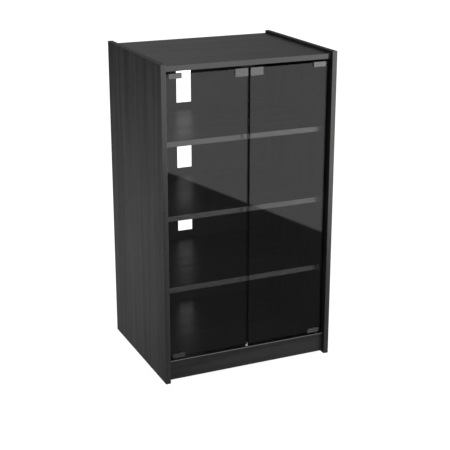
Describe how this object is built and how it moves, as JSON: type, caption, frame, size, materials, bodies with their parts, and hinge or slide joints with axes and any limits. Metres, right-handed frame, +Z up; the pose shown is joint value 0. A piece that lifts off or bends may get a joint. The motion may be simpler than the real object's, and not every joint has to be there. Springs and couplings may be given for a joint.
{
  "type": "media cabinet",
  "caption": "Upright media cabinet of dark woodgrain board with paired tinted glass doors on pivots, a magnetic touch latch, shelves and a back panel with cable cut-outs.",
  "frame": {"origin": "on the floor, below the centre of the cabinet", "axes": "+Z up, -Y towards the front with the doors, +X to the right as seen from the front"},
  "size_m": [0.565, 0.46, 0.985],
  "materials": {
    "side_board": "black woodgrain laminate, grain upright",
    "level_board": "black woodgrain laminate, grain along the width",
    "back_board": "black paper-faced hardboard",
    "tinted_glass": "grey tinted safety glass, polished",
    "grey_metal": "satin grey",
    "zinc_steel": "zinc plated",
    "black_steel": "black oxide",
    "die_cast_zinc": "die cast",
    "dowel_wood": "fluted beech",
    "nylon": "moulded",
    "pale_nylon": "moulded",
    "latch_plastic": "moulded",
    "magnet": "sintered",
    "liner": "soft"
  },
  "bodies": {
    "cabinet": {"back_nails": "zinc_steel", "back_panel": "back_board", "bottom_panel": "level_board", "cam_bolts": "zinc_steel", "cam_locks": "die_cast_zinc", "door_stop": "pale_nylon", "dowels": "dowel_wood", "latch_housing": "latch_plastic", "latch_screws": "zinc_steel", "left_side_panel": "side_board", "lower_shelf": "level_board", "middle_shelf": "level_board", "pivot_bushes": "nylon", "plinth": "level_board", "right_side_panel": "side_board", "shelf_pins": "zinc_steel", "top_panel": "level_board", "upper_shelf": "level_board"},
    "left_door": {"left_door_glass": "tinted_glass", "left_top_hinge_clip": "grey_metal", "left_bottom_hinge_clip": "grey_metal", "left_pivot_pins": "black_steel", "left_clip_liners": "liner", "left_clip_screws": "zinc_steel", "left_strike_plate": "grey_metal"},
    "right_door": {"right_door_glass": "tinted_glass", "right_top_hinge_clip": "grey_metal", "right_bottom_hinge_clip": "grey_metal", "right_pivot_pins": "black_steel", "right_clip_liners": "liner", "right_clip_screws": "zinc_steel", "right_strike_plate": "grey_metal"},
    "left_plunger": {"left_latch_plunger": "latch_plastic", "left_latch_magnet": "magnet"},
    "right_plunger": {"right_latch_plunger": "latch_plastic", "right_latch_magnet": "magnet"}
  },
  "joints": [
    {"name": "left_door_hinge", "type": "hinge", "parent": "cabinet", "child": "left_door", "pos_m": [-0.2475, -0.2115, 0], "axis": [0, 0, -1], "range_deg": [0, 110]},
    {"name": "right_door_hinge", "type": "hinge", "parent": "cabinet", "child": "right_door", "pos_m": [0.2475, -0.2115, 0], "axis": [0, 0, 1], "range_deg": [0, 110]},
    {"name": "left_latch_press", "type": "slide", "parent": "cabinet", "child": "left_plunger", "axis": [0, 1, 0], "range_m": [0, 0.004], "stiffness_N_per_m": 100, "springref_m": -0.008},
    {"name": "right_latch_press", "type": "slide", "parent": "cabinet", "child": "right_plunger", "axis": [0, 1, 0], "range_m": [0, 0.004], "stiffness_N_per_m": 100, "springref_m": -0.008}
  ]
}
